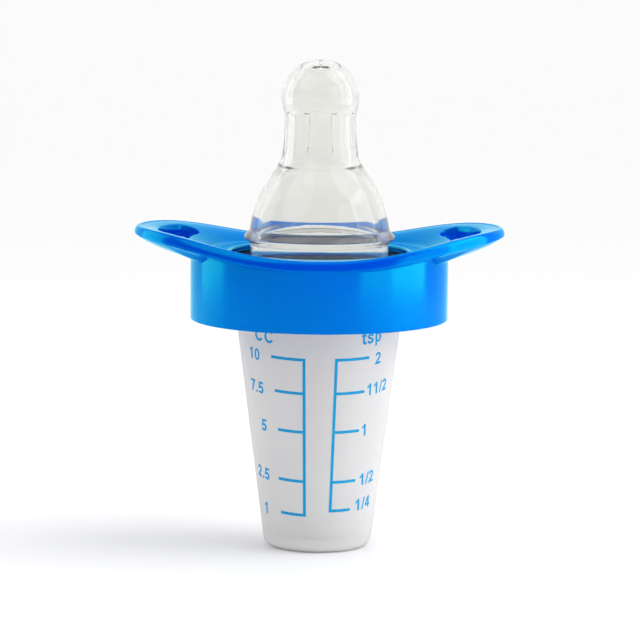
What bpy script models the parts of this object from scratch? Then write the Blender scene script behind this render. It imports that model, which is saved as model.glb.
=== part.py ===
"""A medicine dispenser for babies: a tapered dosing vial, a silicone nipple and a shield collar.

Blender 4.5 script in metres, +Z up. The origin is the centre of the vial's base, on the surface that
it stands on. The nipple's flange is clamped between the vial's rim and the collar's plate, and the
collar screws down on the vial's neck with a right-hand thread.
"""

import math

import bmesh
import bpy

MM = 0.001

# ---- Driving dimensions --------------------------------------------------------------------------

# Nipple, from its tip down to the flange that the collar clamps.
NIPPLE_LENGTH = 34.2 * MM  # from the flange's top to the tip
HEAD_RADIUS = 6.65 * MM
WAIST_RADIUS = 6.13 * MM
WAIST_BELOW_HEAD = 3.0 * MM  # from the head's centre down to the waist
BELL_RADIUS = 12.1 * MM
BELL_SHOULDER_HEIGHT = 15.3 * MM  # from the lip's underside to where the bell meets the waist
LIP_OVERHANG = 1.03 * MM  # how far the bell's lip stands out past the bell
LIP_HEIGHT = 0.9 * MM
GROOVE_RADIUS = 11.96 * MM  # the plain neck between the lip and the flange
GROOVE_HEIGHT = 2.7 * MM
NIPPLE_WALL = 1.7 * MM
HEAD_WALL = 2.0 * MM
TIP_HOLE_RADIUS = 0.5 * MM
TIP_FLAT_RADIUS = 1.7 * MM
FLANGE_THICKNESS = 1.3 * MM
FLANGE_GRIP = 1.7 * MM  # how far the flange reaches under the collar's plate

# Vial, from its base up.
VIAL_HEIGHT = 48.8 * MM
VIAL_BASE_RADIUS = 9.25 * MM  # where the wall's line would meet the base
VIAL_BASE_WALL = 1.8 * MM
VIAL_TOP_WALL = 1.23 * MM
VIAL_FLOOR = 2.2 * MM
VIAL_BASE_ROUND = 1.75 * MM
NECK_HEIGHT = 6.8 * MM
NECK_WALL = 1.4 * MM
SHOULDER_STEP = 2.12 * MM  # how far the neck stands out past the tapered wall
SHOULDER_RISE = 1.0 * MM

# Screw thread, right hand, one start.
THREAD_PITCH = 3.0 * MM
THREAD_TURNS = 1.25
THREAD_DEPTH = 0.8 * MM
THREAD_ROOT_WIDTH = 1.2 * MM
THREAD_CREST_WIDTH = 0.6 * MM
THREAD_SUNK = 0.3 * MM  # how deep a ridge starts inside its wall
THREAD_BELOW_RIM = 1.2 * MM
FLANK_GAP = 0.35 * MM

# Shield collar.
SKIRT_DEPTH = 11.9 * MM  # from the dish's floor to the skirt's bottom edge
SKIRT_WALL = 1.5 * MM
RING_WALL = 1.5 * MM  # the threaded ring inside the skirt
RING_TO_SKIRT = 1.65 * MM
RING_INSET = 1.2 * MM  # how far the ring ends above the skirt's bottom edge
RING_BELOW_RIDGE = 1.0 * MM  # the least wall that the ring keeps under its thread's ridge
PLATE_THICKNESS = 1.0 * MM
WING_REACH = 9.56 * MM  # how far a wing's tip stands out past the shield's front
WING_RISE = 3.95 * MM  # how far the rim climbs from the front to a wing's tip
RIM_ABOVE_FLOOR = 0.3 * MM
RIM_HEIGHT = 1.8 * MM
RIM_WIDTH = 1.2 * MM
DISH_BOW = 1.6  # how soon the dish climbs: 1 would be a straight cone
TIP_THINNING = 0.7 * MM  # how much lower the rim is at a wing's tip
# The underside falls to the skirt along a power of the distance: full in front, hollow behind.
FULL_BOW = 0.78
HOLLOW_BOW = 1.6
HULL_BOW = 1.1  # the same away from the wings
FULL_TURN = math.radians(26)  # how far from a wing's middle line the full side reaches
HOLLOW_TURN = math.radians(22)
HULL_TURN = math.radians(32)
SIDE_TURN = math.radians(8)  # the turn over which the full side goes over into the hollow one
HULL_SLOPE = 0.345  # how steeply the underside falls to the skirt beside the wings
SHIELD_PROUD = 0.15 * MM  # how far the shield's front stands out past the skirt
FINGER_HOLE_LENGTH = 19.2 * MM
FINGER_HOLE_END = 2.8 * MM  # how wide a finger hole still is at its ends
FINGER_HOLE_ROUND = 1.2 * MM
WING_BAR = 4.06 * MM  # material left outside a finger hole at the wing's tip

# Clearances between pieces.
SEAL_GAP = 0.3 * MM  # on both faces of the clamped flange
THREAD_CLEARANCE = 0.3 * MM  # between a thread's crest and the wall that it faces
HOLE_CLEARANCE = 2.17 * MM  # between the nipple's lip and the hole in the dish
FLANGE_CLEARANCE = 0.7 * MM  # between the flange's edge and the threaded ring
SKIRT_TO_FINGER_HOLE = 0.55 * MM

ROUND_STEPS = 48
SHIELD_STEPS = 72

# ---- Sizes that follow ---------------------------------------------------------------------------

LIP_RADIUS = BELL_RADIUS + LIP_OVERHANG
DISH_HOLE_RADIUS = LIP_RADIUS + HOLE_CLEARANCE
FLANGE_RADIUS = DISH_HOLE_RADIUS + FLANGE_GRIP
RING_INNER_RADIUS = FLANGE_RADIUS + FLANGE_CLEARANCE
NECK_RADIUS = RING_INNER_RADIUS - THREAD_CLEARANCE - THREAD_DEPTH
RING_OUTER_RADIUS = RING_INNER_RADIUS + RING_WALL
SKIRT_INNER_RADIUS = RING_OUTER_RADIUS + RING_TO_SKIRT
SKIRT_RADIUS = SKIRT_INNER_RADIUS + SKIRT_WALL
SHIELD_HALF_DEPTH = SKIRT_RADIUS + SHIELD_PROUD
SHIELD_HALF_WIDTH = SHIELD_HALF_DEPTH + WING_REACH

NECK_FOOT = VIAL_HEIGHT - NECK_HEIGHT
WALL_TOP_RADIUS = NECK_RADIUS - SHOULDER_STEP
FLANGE_BOTTOM = VIAL_HEIGHT + SEAL_GAP
FLANGE_TOP = FLANGE_BOTTOM + FLANGE_THICKNESS
PLATE_BOTTOM = FLANGE_TOP + SEAL_GAP
DISH_FLOOR = PLATE_BOTTOM + PLATE_THICKNESS
SKIRT_BOTTOM = DISH_FLOOR - SKIRT_DEPTH
RIM_TOP = DISH_FLOOR + RIM_ABOVE_FLOOR
TIP_HEIGHT = FLANGE_TOP + NIPPLE_LENGTH
FINGER_HOLE_RADIUS = SKIRT_RADIUS + SKIRT_TO_FINGER_HOLE
FINGER_HOLE_REACH = math.asin(FINGER_HOLE_LENGTH / 2 / FINGER_HOLE_RADIUS)

VIAL_RIDGE_LOW = VIAL_HEIGHT - THREAD_BELOW_RIM - THREAD_PITCH * THREAD_TURNS
# The collar's ridge runs under the vial's, a flank's gap away from it.
COLLAR_RIDGE_LOW = VIAL_RIDGE_LOW - (THREAD_ROOT_WIDTH + THREAD_CREST_WIDTH) / 2 - FLANK_GAP
# The ring ends above the skirt's edge, but never before its ridge does.
RING_BOTTOM = min(
    SKIRT_BOTTOM + RING_INSET, COLLAR_RIDGE_LOW - THREAD_ROOT_WIDTH / 2 - RING_BELOW_RIDGE
)


# ---- Helpers -------------------------------------------------------------------------------------


def clear_scene():
    for thing in list(bpy.data.objects):
        bpy.data.objects.remove(thing, do_unlink=True)


def new_collection(name):
    found = bpy.data.collections.new(name)
    bpy.context.scene.collection.children.link(found)
    return found


def plastic(name, colour, roughness, alpha=1.0):
    made = bpy.data.materials.new(name)
    made.use_nodes = True
    shader = made.node_tree.nodes["Principled BSDF"]
    shader.inputs["Base Color"].default_value = (*colour, 1.0)
    shader.inputs["Roughness"].default_value = roughness
    shader.inputs["Metallic"].default_value = 0.0
    shader.inputs["Alpha"].default_value = alpha
    return made


def new_object(name, mesh, collection, material=None):
    made = bpy.data.objects.new(name, mesh)
    collection.objects.link(made)
    if material:
        mesh.materials.append(material)
    return made


def arc(centre_r, centre_z, radius, start, end, steps):
    """Points (r, z) on an arc, from one angle to another in degrees, both ends included."""
    points = []
    for i in range(steps + 1):
        angle = math.radians(start + (end - start) * i / steps)
        points.append((centre_r + radius * math.cos(angle), centre_z + radius * math.sin(angle)))
    return points


def smooth_line(points, steps):
    """A Catmull-Rom curve through the points, with this many steps in each stretch."""
    line = []
    for i in range(len(points) - 1):
        before = points[max(i - 1, 0)]
        a, b = points[i], points[i + 1]
        after = points[min(i + 2, len(points) - 1)]
        for k in range(steps):
            t = k / steps
            line.append(
                tuple(
                    0.5
                    * (
                        2 * a[j]
                        + (b[j] - before[j]) * t
                        + (2 * before[j] - 5 * a[j] + 4 * b[j] - after[j]) * t**2
                        + (3 * a[j] - before[j] - 3 * b[j] + after[j]) * t**3
                    )
                    for j in range(2)
                )
            )
    line.append(points[-1])
    return line


def turned(name, profile, closed, collection, material):
    """A solid turned about Z from a profile of (r, z) that runs down its outer side."""
    mesh = bpy.data.meshes.new(name)
    last = len(profile) if closed else len(profile) - 1
    edges = [(i, (i + 1) % len(profile)) for i in range(last)]
    mesh.from_pydata([(r, 0.0, z) for r, z in profile], edges, [])
    made = new_object(name, mesh, collection, material)
    screw = made.modifiers.new("Turn", "SCREW")
    screw.axis = "Z"
    screw.steps = ROUND_STEPS
    screw.render_steps = ROUND_STEPS
    screw.use_merge_vertices = True
    screw.merge_threshold = 0.00001
    screw.use_smooth_shade = True
    return made


def lofted_ring(name, sections, collection, material):
    """A ring about Z from closed sections of (r, z), one for each equal step of angle."""
    shape = bmesh.new()
    rings = []
    for i, section in enumerate(sections):
        angle = math.tau * i / len(sections)
        rings.append(
            [shape.verts.new((r * math.cos(angle), r * math.sin(angle), z)) for r, z in section]
        )
    for i, ring in enumerate(rings):
        following = rings[(i + 1) % len(rings)]
        for k in range(len(ring)):
            n = (k + 1) % len(ring)
            shape.faces.new((ring[k], following[k], following[n], ring[n]))
    bmesh.ops.recalc_face_normals(shape, faces=shape.faces)
    mesh = bpy.data.meshes.new(name)
    shape.to_mesh(mesh)
    shape.free()
    mesh.shade_smooth()
    mesh.set_sharp_from_angle(angle=math.radians(35))
    return new_object(name, mesh, collection, material)


def as_tool(thing):
    thing.hide_render = True
    thing.display_type = "WIRE"
    return thing


def combine(target, tool, operation):
    change = target.modifiers.new(f"{operation.title()} {tool.name}", "BOOLEAN")
    change.operation = operation
    change.object = tool
    change.solver = "EXACT"


def helical_ridge(name, wall_radius, outward, centre_height, collection):
    """A thread's ridge on a wall, tapering out at both ends. centre_height is its lower end's height
    at angle 0, and outward is 1 for a ridge on the outside of a wall and -1 for one inside it."""
    steps = round(ROUND_STEPS * THREAD_TURNS)
    fade = ROUND_STEPS // 8  # steps over which an end grows to the full ridge
    shape = bmesh.new()
    rings = []
    for i in range(steps + 1):
        turn = THREAD_TURNS * i / steps
        angle = math.tau * turn
        height = centre_height + THREAD_PITCH * turn
        grown = min(1.0, (min(i, steps - i) + 0.5) / fade)
        root = wall_radius - outward * THREAD_SUNK
        crest = wall_radius + outward * THREAD_DEPTH * grown
        section = (
            (root, -THREAD_ROOT_WIDTH / 2),
            (root, THREAD_ROOT_WIDTH / 2),
            (crest, THREAD_CREST_WIDTH / 2),
            (crest, -THREAD_CREST_WIDTH / 2),
        )
        rings.append(
            [
                shape.verts.new((r * math.cos(angle), r * math.sin(angle), height + z))
                for r, z in section
            ]
        )
    for ring, following in zip(rings, rings[1:], strict=False):
        for k in range(4):
            n = (k + 1) % 4
            shape.faces.new((ring[k], following[k], following[n], ring[n]))
    shape.faces.new(rings[0])
    shape.faces.new(reversed(rings[-1]))
    bmesh.ops.recalc_face_normals(shape, faces=shape.faces)
    mesh = bpy.data.meshes.new(name)
    shape.to_mesh(mesh)
    shape.free()
    return as_tool(new_object(name, mesh, collection))


def outline_solid(name, points, low, high, corner_round, collection):
    """An upright solid with this flat outline of (x, y), from one height to another."""
    outline = bpy.data.curves.new(name, "CURVE")
    outline.dimensions = "2D"
    outline.fill_mode = "BOTH"
    outline.extrude = (high - low) / 2
    spline = outline.splines.new("POLY")
    spline.points.add(len(points) - 1)
    for point, (x, y) in zip(spline.points, points, strict=True):
        point.co = (x, y, 0.0, 1.0)
    spline.use_cyclic_u = True
    guide = new_object(f"{name}_outline", outline, collection)
    mesh = bpy.data.meshes.new_from_object(guide.evaluated_get(bpy.context.evaluated_depsgraph_get()))
    shape = bmesh.new()
    shape.from_mesh(mesh)
    bmesh.ops.remove_doubles(shape, verts=shape.verts, dist=0.00001)
    bmesh.ops.recalc_face_normals(shape, faces=shape.faces)
    shape.to_mesh(mesh)
    shape.free()
    bpy.data.objects.remove(guide)
    made = as_tool(new_object(name, mesh, collection))
    made.location.z = (low + high) / 2
    corners = made.modifiers.new("Round corners", "BEVEL")
    corners.width = corner_round
    corners.segments = 3
    corners.limit_method = "ANGLE"
    corners.angle_limit = math.radians(50)
    return made


# ---- Pieces --------------------------------------------------------------------------------------


def vial_profile():
    """From the rim down the outside, across the base to the axis, then from the floor up inside."""
    taper = (WALL_TOP_RADIUS - VIAL_BASE_RADIUS) / (NECK_FOOT - SHOULDER_RISE)
    lean = math.degrees(math.atan(taper))

    def inner(z):
        wall = VIAL_BASE_WALL + (VIAL_TOP_WALL - VIAL_BASE_WALL) * z / NECK_FOOT
        return VIAL_BASE_RADIUS + taper * z - wall

    # The base's rounding touches both the flat base and the leaning wall.
    reach = VIAL_BASE_ROUND * math.tan(math.radians((90 - lean) / 2))
    base_centre = VIAL_BASE_RADIUS - reach
    base_round = arc(base_centre, VIAL_BASE_ROUND, VIAL_BASE_ROUND, -lean, -90, 5)
    floor_round = min(VIAL_BASE_ROUND, VIAL_FLOOR)
    return [
        (NECK_RADIUS - NECK_WALL, VIAL_HEIGHT),
        (NECK_RADIUS, VIAL_HEIGHT),
        (NECK_RADIUS, NECK_FOOT),
        (WALL_TOP_RADIUS, NECK_FOOT - SHOULDER_RISE),
        *base_round,
        (0.0, 0.0),
        (0.0, VIAL_FLOOR),
        (inner(VIAL_FLOOR) - floor_round, VIAL_FLOOR),
        (inner(VIAL_FLOOR) - floor_round * 0.3, VIAL_FLOOR + floor_round * 0.3),
        (inner(VIAL_FLOOR + floor_round), VIAL_FLOOR + floor_round),
        (inner(NECK_FOOT), NECK_FOOT),
        (NECK_RADIUS - NECK_WALL, NECK_FOOT + SHOULDER_RISE),
    ]


def make_vial(collection, tools):
    frosted = plastic("frosted_polypropylene", (0.72, 0.72, 0.72), 0.45, 0.6)
    profile = vial_profile()
    # The loop stays open at the axis, where its two ends are the base's and the floor's centres.
    axis_end = profile.index((0.0, VIAL_FLOOR))
    vial = turned(
        "dosing_vial", profile[axis_end:] + profile[:axis_end], False, collection, frosted
    )
    ridge = helical_ridge("vial_thread", NECK_RADIUS, 1, VIAL_RIDGE_LOW, tools)
    combine(vial, ridge, "UNION")
    return vial


def nipple_outside():
    """From the tip's hole down the outside to the flange's lower edge."""
    head_centre = TIP_HEIGHT - math.sqrt(HEAD_RADIUS**2 - TIP_FLAT_RADIUS**2)
    flat_angle = math.degrees(math.acos(TIP_FLAT_RADIUS / HEAD_RADIUS))
    lip_bottom = FLANGE_TOP + GROOVE_HEIGHT
    lip_top = lip_bottom + LIP_HEIGHT
    waist = head_centre - WAIST_BELOW_HEAD
    bell_top = lip_bottom + BELL_SHOULDER_HEIGHT
    bell_rise = bell_top - lip_top
    bulge = BELL_RADIUS - WAIST_RADIUS
    return [
        (TIP_HOLE_RADIUS, TIP_HEIGHT),
        *arc(0.0, head_centre, HEAD_RADIUS, flat_angle, 0, 6),
        *smooth_line(
            [
                (WAIST_RADIUS, waist),
                (WAIST_RADIUS + bulge * 0.03, (waist + bell_top) / 2),
                (WAIST_RADIUS + bulge * 0.08, bell_top),
                (WAIST_RADIUS + bulge * 0.48, bell_top - bell_rise * 0.33),
                (WAIST_RADIUS + bulge * 0.78, bell_top - bell_rise * 0.56),
                (WAIST_RADIUS + bulge * 0.94, bell_top - bell_rise * 0.8),
                (BELL_RADIUS, lip_top),
            ],
            2,
        ),
        (LIP_RADIUS, lip_bottom + LIP_HEIGHT * 0.6),
        (LIP_RADIUS, lip_bottom + LIP_HEIGHT * 0.2),
        (GROOVE_RADIUS, lip_bottom),
        (GROOVE_RADIUS, FLANGE_TOP),
        (FLANGE_RADIUS, FLANGE_TOP),
        (FLANGE_RADIUS, FLANGE_BOTTOM),
    ]


def nipple_inside():
    """From the flange's lower face up inside the bell, the waist and the head."""
    head_centre = TIP_HEIGHT - math.sqrt(HEAD_RADIUS**2 - TIP_FLAT_RADIUS**2)
    lip_bottom = FLANGE_TOP + GROOVE_HEIGHT
    bell_top = lip_bottom + BELL_SHOULDER_HEIGHT
    room = BELL_RADIUS - NIPPLE_WALL
    bore = WAIST_RADIUS - NIPPLE_WALL
    return [
        (room, FLANGE_BOTTOM),
        *smooth_line(
            [
                (room, lip_bottom + LIP_HEIGHT),
                (room * 0.93, (lip_bottom + bell_top) / 2 - NIPPLE_WALL * 0.5),
                (room * 0.72, bell_top - NIPPLE_WALL * 3),
                (bore, bell_top - NIPPLE_WALL * 1.5),
            ],
            2,
        ),
        (bore, head_centre),
        *arc(0.0, head_centre, HEAD_RADIUS - HEAD_WALL, 18, 66, 3),
        (TIP_HOLE_RADIUS, head_centre + (HEAD_RADIUS - HEAD_WALL) * math.sin(math.radians(66))),
    ]


def make_nipple(collection):
    silicone = plastic("clear_silicone", (0.85, 0.85, 0.83), 0.15, 0.35)
    return turned("nipple", nipple_outside() + nipple_inside(), True, collection, silicone)


def rim_climb(x):
    """How far the rim has climbed at this distance to the side, levelling out at a wing's tip."""
    share = min(1.0, abs(x) / SHIELD_HALF_WIDTH)
    return WING_RISE * math.sin(math.pi / 2 * share**1.2) ** 2


def underside(angle, share, rim_bottom, overhang):
    """The underside's height at this share of the way from the rim to the skirt."""
    from_wing = min(angle % math.pi, math.pi - angle % math.pi)
    beside = rim_bottom - HULL_SLOPE * overhang
    lowest = RIM_TOP - RIM_HEIGHT + SHIELD_PROUD
    heights = []
    for turn, bow in ((FULL_TURN, FULL_BOW), (HOLLOW_TURN, HOLLOW_BOW)):
        outward = min(1.0, max(0.0, (from_wing - turn) / (HULL_TURN - turn)))
        corner = lowest + (beside - lowest) * outward
        heights.append(rim_bottom + (corner - rim_bottom) * share ** (bow + (HULL_BOW - bow) * outward))
    full, hollow = heights
    in_front = min(1.0, max(0.0, 0.5 - math.sin(angle) / math.sin(SIDE_TURN) / 2))
    return hollow + (full - hollow) * in_front


def collar_section(angle):
    """The collar cut by an upright plane at this angle about Z, as a closed line of (r, z)."""
    across, along = SHIELD_HALF_DEPTH * math.cos(angle), SHIELD_HALF_WIDTH * math.sin(angle)
    edge = SHIELD_HALF_WIDTH * SHIELD_HALF_DEPTH / math.hypot(across, along)
    rim = RIM_TOP + rim_climb(edge * math.cos(angle))
    floor_edge = RING_OUTER_RADIUS + RING_TO_SKIRT * 0.2
    dish = []
    lip = rim - RIM_ABOVE_FLOOR * 0.6
    for share in (0.0, 0.15, 0.35, 0.6, 0.8, 1.0):
        r = floor_edge + (edge - RIM_WIDTH - floor_edge) * share
        dish.append((r, DISH_FLOOR + (lip - DISH_FLOOR) * (1 - (1 - share) ** DISH_BOW)))
    from_wing = min(angle % math.pi, math.pi - angle % math.pi)
    thinning = TIP_THINNING * max(0.0, 1 - from_wing / HULL_TURN) ** 1.5
    rim_bottom = rim - RIM_HEIGHT + thinning
    hull = []
    for share in (0.0, 0.25, 0.45, 0.65, 0.85, 1.0):
        r = edge + (SKIRT_RADIUS - edge) * share
        hull.append((r, underside(angle, share, rim_bottom, edge - SKIRT_RADIUS)))
    gap_top = DISH_FLOOR - PLATE_THICKNESS * 2
    return [
        (DISH_HOLE_RADIUS, DISH_FLOOR),
        *dish,
        (edge - RIM_WIDTH / 2, rim),
        (edge, rim - RIM_WIDTH * 0.4),
        *hull,
        (SKIRT_RADIUS, SKIRT_BOTTOM),
        (SKIRT_INNER_RADIUS, SKIRT_BOTTOM),
        (SKIRT_INNER_RADIUS, gap_top),
        (RING_OUTER_RADIUS, gap_top),
        (RING_OUTER_RADIUS, RING_BOTTOM),
        (RING_INNER_RADIUS, RING_BOTTOM),
        (RING_INNER_RADIUS, PLATE_BOTTOM),
        (DISH_HOLE_RADIUS, PLATE_BOTTOM),
    ]


def finger_hole_outline(side):
    """A kidney: its inner edge runs round the skirt, its outer edge follows the wing's tip."""
    inner = FINGER_HOLE_RADIUS
    outer = SHIELD_HALF_WIDTH - WING_BAR
    reach = FINGER_HOLE_REACH
    end_x = (inner + FINGER_HOLE_END) * math.cos(reach)
    end_y = (inner + FINGER_HOLE_END) * math.sin(reach)
    outer_half_depth = end_y / math.sqrt(1 - (end_x / outer) ** 2)
    outer_reach = math.asin(end_y / outer_half_depth)
    steps = 8
    points = []
    for i in range(steps + 1):
        angle = -outer_reach + 2 * outer_reach * i / steps
        points.append((side * outer * math.cos(angle), outer_half_depth * math.sin(angle)))
    for i in range(steps + 1):
        angle = reach - 2 * reach * i / steps
        points.append((side * inner * math.cos(angle), inner * math.sin(angle)))
    return points


def make_collar(collection, tools):
    blue = plastic("glossy_blue_polypropylene", (0.0, 0.15, 0.74), 0.2)
    sections = [collar_section(math.tau * i / SHIELD_STEPS) for i in range(SHIELD_STEPS)]
    collar = lofted_ring("shield_collar", sections, collection, blue)
    ridge = helical_ridge("collar_thread", RING_INNER_RADIUS, -1, COLLAR_RIDGE_LOW, tools)
    combine(collar, ridge, "UNION")
    top = RIM_TOP + WING_RISE
    for side, word in ((-1, "left"), (1, "right")):
        hole = outline_solid(
            f"finger_hole_{word}",
            finger_hole_outline(side),
            SKIRT_BOTTOM,
            top + RIM_HEIGHT,
            FINGER_HOLE_ROUND,
            tools,
        )
        combine(collar, hole, "DIFFERENCE")
    return collar


def join_bodies(vial, nipple, collar):
    """The collar turns on the nipple, and the nipple slides off the vial along the same axis."""
    nipple.parent = vial
    collar.parent = nipple


def main():
    clear_scene()
    pieces = new_collection("baby_medicine_dispenser")
    tools = new_collection("cutters")
    vial = make_vial(pieces, tools)
    nipple = make_nipple(pieces)
    collar = make_collar(pieces, tools)
    join_bodies(vial, nipple, collar)


main()
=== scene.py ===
"""Looks of a baby medicine dispenser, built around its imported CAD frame.

A clear silicone nipple, a glossy blue shield collar and a frosted dosing vial with two printed scales.
Lengths are in metres. The origin is the centre of the vial's base, +Z is up and -Y is the front.
"""

import math

import bmesh
import bpy
from mathutils import Matrix, Vector


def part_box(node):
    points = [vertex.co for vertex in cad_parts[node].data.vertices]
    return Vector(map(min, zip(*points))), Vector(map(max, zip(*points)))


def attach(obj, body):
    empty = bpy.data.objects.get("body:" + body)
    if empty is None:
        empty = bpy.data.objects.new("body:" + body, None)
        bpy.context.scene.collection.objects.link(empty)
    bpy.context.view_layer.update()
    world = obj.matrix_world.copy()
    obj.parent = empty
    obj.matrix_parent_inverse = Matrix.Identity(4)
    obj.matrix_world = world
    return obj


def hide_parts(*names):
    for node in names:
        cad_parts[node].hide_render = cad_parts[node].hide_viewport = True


MM = 0.001

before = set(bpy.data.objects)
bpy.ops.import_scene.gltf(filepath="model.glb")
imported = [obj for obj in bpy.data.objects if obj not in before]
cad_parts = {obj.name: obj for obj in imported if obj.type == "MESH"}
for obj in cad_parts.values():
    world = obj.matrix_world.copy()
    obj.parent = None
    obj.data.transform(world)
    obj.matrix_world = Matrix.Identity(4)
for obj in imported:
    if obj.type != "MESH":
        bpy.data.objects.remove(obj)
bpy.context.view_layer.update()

# ---- Sizes from the frame ------------------------------------------------------------------------

_, VIAL_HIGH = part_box("dosing_vial")
NIPPLE_LOW, NIPPLE_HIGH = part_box("nipple")
COLLAR_LOW, COLLAR_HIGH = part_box("shield_collar")

VIAL_TOP = VIAL_HIGH[2]
THREAD_CREST_RADIUS = VIAL_HIGH[0]
FLANGE_BOTTOM = NIPPLE_LOW[2]
FLANGE_RADIUS = NIPPLE_HIGH[0]
TIP_TOP = NIPPLE_HIGH[2]
SKIRT_BOTTOM = COLLAR_LOW[2]
WING_TIP_TOP = COLLAR_HIGH[2]
SHIELD_HALF_WIDTH = COLLAR_HIGH[0]

# ---- Sizes of the vial ---------------------------------------------------------------------------

THREAD_DEPTH = 0.8 * MM
NECK_RADIUS = THREAD_CREST_RADIUS - THREAD_DEPTH
NECK_WALL = 1.4 * MM
NECK_FOOT = VIAL_TOP - 6.8 * MM
SHOULDER_RISE = 1.0 * MM
WALL_TOP_RADIUS = NECK_RADIUS - 2.12 * MM
VIAL_BASE_RADIUS = 9.25 * MM
VIAL_BASE_WALL = 1.8 * MM
VIAL_TOP_WALL = 1.23 * MM
VIAL_FLOOR = 2.2 * MM
VIAL_BASE_ROUND = 1.75 * MM
BASE_RECESS = 0.35 * MM
BASE_RECESS_RADIUS = 6.2 * MM
VIAL_RIM_ROUND = 0.4 * MM
TAPER = (WALL_TOP_RADIUS - VIAL_BASE_RADIUS) / (NECK_FOOT - SHOULDER_RISE)

# ---- Sizes of the thread -------------------------------------------------------------------------

THREAD_PITCH = 3.0 * MM
THREAD_TURNS = 1.25
THREAD_ROOT_WIDTH = 1.2 * MM
THREAD_CREST_WIDTH = 0.6 * MM
THREAD_SUNK = 0.3 * MM  # how far a ridge's root lies inside the wall
THREAD_SHORT = 0.02 * MM  # how far the crest stays below the thread's full depth
THREAD_KNEE = 0.2 * MM  # how far below the full depth the flanks turn to the crest
LEAST_CREST = 0.03  # what is left of the crest's height at a ridge's ends
LEAST_KNEE = 0.02
THREAD_BELOW_RIM = 1.2 * MM
THREAD_DROP = 1.25 * MM  # from the vial's ridge down to the collar's

# ---- Sizes of the nipple -------------------------------------------------------------------------

FLANGE_THICKNESS = 1.3 * MM
FLANGE_TOP = FLANGE_BOTTOM + FLANGE_THICKNESS
HEAD_RADIUS = 6.65 * MM
TIP_FLAT_RADIUS = 1.7 * MM
HEAD_CENTRE = TIP_TOP - math.sqrt(HEAD_RADIUS**2 - TIP_FLAT_RADIUS**2)
TIP_HOLE_RADIUS = 0.22 * MM
LIP_BOTTOM = FLANGE_TOP + 2.7 * MM
LIP_RADIUS = 13.13 * MM
GROOVE_RADIUS = 11.96 * MM
RIB_COUNT = 6
RIB_DEPTH = 0.32 * MM
RIB_TOP = HEAD_CENTRE - 2.7 * MM
RIB_BOTTOM = HEAD_CENTRE - 9.4 * MM
RIB_FADE = 0.4 * MM  # how far above its top a rib ends
RIB_EDGE = 0.1 * MM  # half the width over which a rib's flank rises
NIPPLE_STEPS = 360
NIPPLE_SHARP_DEGREES = 50

# ---- Sizes of the collar -------------------------------------------------------------------------

RING_INNER_RADIUS = FLANGE_RADIUS + 0.7 * MM
RING_OUTER_RADIUS = RING_INNER_RADIUS + 1.5 * MM
SKIRT_INNER_RADIUS = RING_OUTER_RADIUS + 1.65 * MM
SKIRT_RADIUS = SKIRT_INNER_RADIUS + 1.5 * MM
DISH_FLOOR = SKIRT_BOTTOM + 11.9 * MM
PLATE_BOTTOM = DISH_FLOOR - 1.0 * MM
DISH_HOLE_RADIUS = FLANGE_RADIUS - 1.7 * MM
DISH_FLAT_RADIUS = RING_OUTER_RADIUS + 0.33 * MM  # where the floor starts to rise to the rim
DISH_BELOW_RIM = 0.18 * MM
DISH_BOW = 1.6  # the power by which the dish's slope eases towards the rim
RIM_TOP = DISH_FLOOR + 0.3 * MM
WING_RISE = WING_TIP_TOP - RIM_TOP
RIM_WIDTH = 1.2 * MM
RIM_HEIGHT = 1.8 * MM
RIM_CREST = 0.5 * MM  # the height of the rim's inner round
RIM_FACE_SHARE = 0.62  # the outer round's share of the rim's width
FRONT_OVERHANG = 0.04 * MM  # how far the rim stands out over the skirt in front
TIP_THINNING = 0.7 * MM  # how much lower the rim is at a wing's tip
FINGER_HOLE_INNER = SKIRT_RADIUS + 0.55 * MM
FINGER_HOLE_OUTER = SHIELD_HALF_WIDTH - 4.06 * MM
FINGER_HOLE_HALF = 9.6 * MM
FINGER_HOLE_END = 2.8 * MM  # how wide a finger hole still is before its ends close
FINGER_HOLE_ROUND = 0.2 * MM
# The underside falls to the skirt along a power of the distance: full in front, hollow behind.
FULL_BOW = 0.78
HOLLOW_BOW = 1.6
HULL_BOW = 1.1  # the same away from the wings
FULL_TURN = math.radians(26)  # how far from a wing's middle line the full side reaches
HOLLOW_TURN = math.radians(22)
HULL_TURN = math.radians(32)
SIDE_TURN = math.radians(8)  # the turn over which the full side goes over into the hollow one
HULL_SLOPE = 0.345  # how steeply the underside falls to the skirt beside the wings
HULL_LOWEST = RIM_TOP - RIM_HEIGHT + 0.15 * MM  # where it meets the skirt under the wings
HULL_INSET = 0.01 * MM  # how far inside the rim's edge it starts
COLLAR_STEPS = 720

ROUND_STEPS = 192
SHARP_DEGREES = 40  # a steeper edge than this isn't smoothed


# ---- Mesh helpers --------------------------------------------------------------------------------


def arc(centre_r, centre_z, radius_r, radius_z, start, end, steps):
    """Points (r, z) on an ellipse's arc, from one angle to another in degrees, both ends included."""
    points = []
    for i in range(steps + 1):
        angle = math.radians(start + (end - start) * i / steps)
        points.append((centre_r + radius_r * math.cos(angle), centre_z + radius_z * math.sin(angle)))
    return points


def round_corner(centre_r, centre_z, radius, start):
    """A quarter of a circle, clockwise from this angle in degrees."""
    return arc(centre_r, centre_z, radius, radius, start, start - 90, 4)


def line(a, b, steps):
    """Points from a to b, both ends included."""
    return [tuple(p + (q - p) * i / steps for p, q in zip(a, b)) for i in range(steps + 1)]


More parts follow.
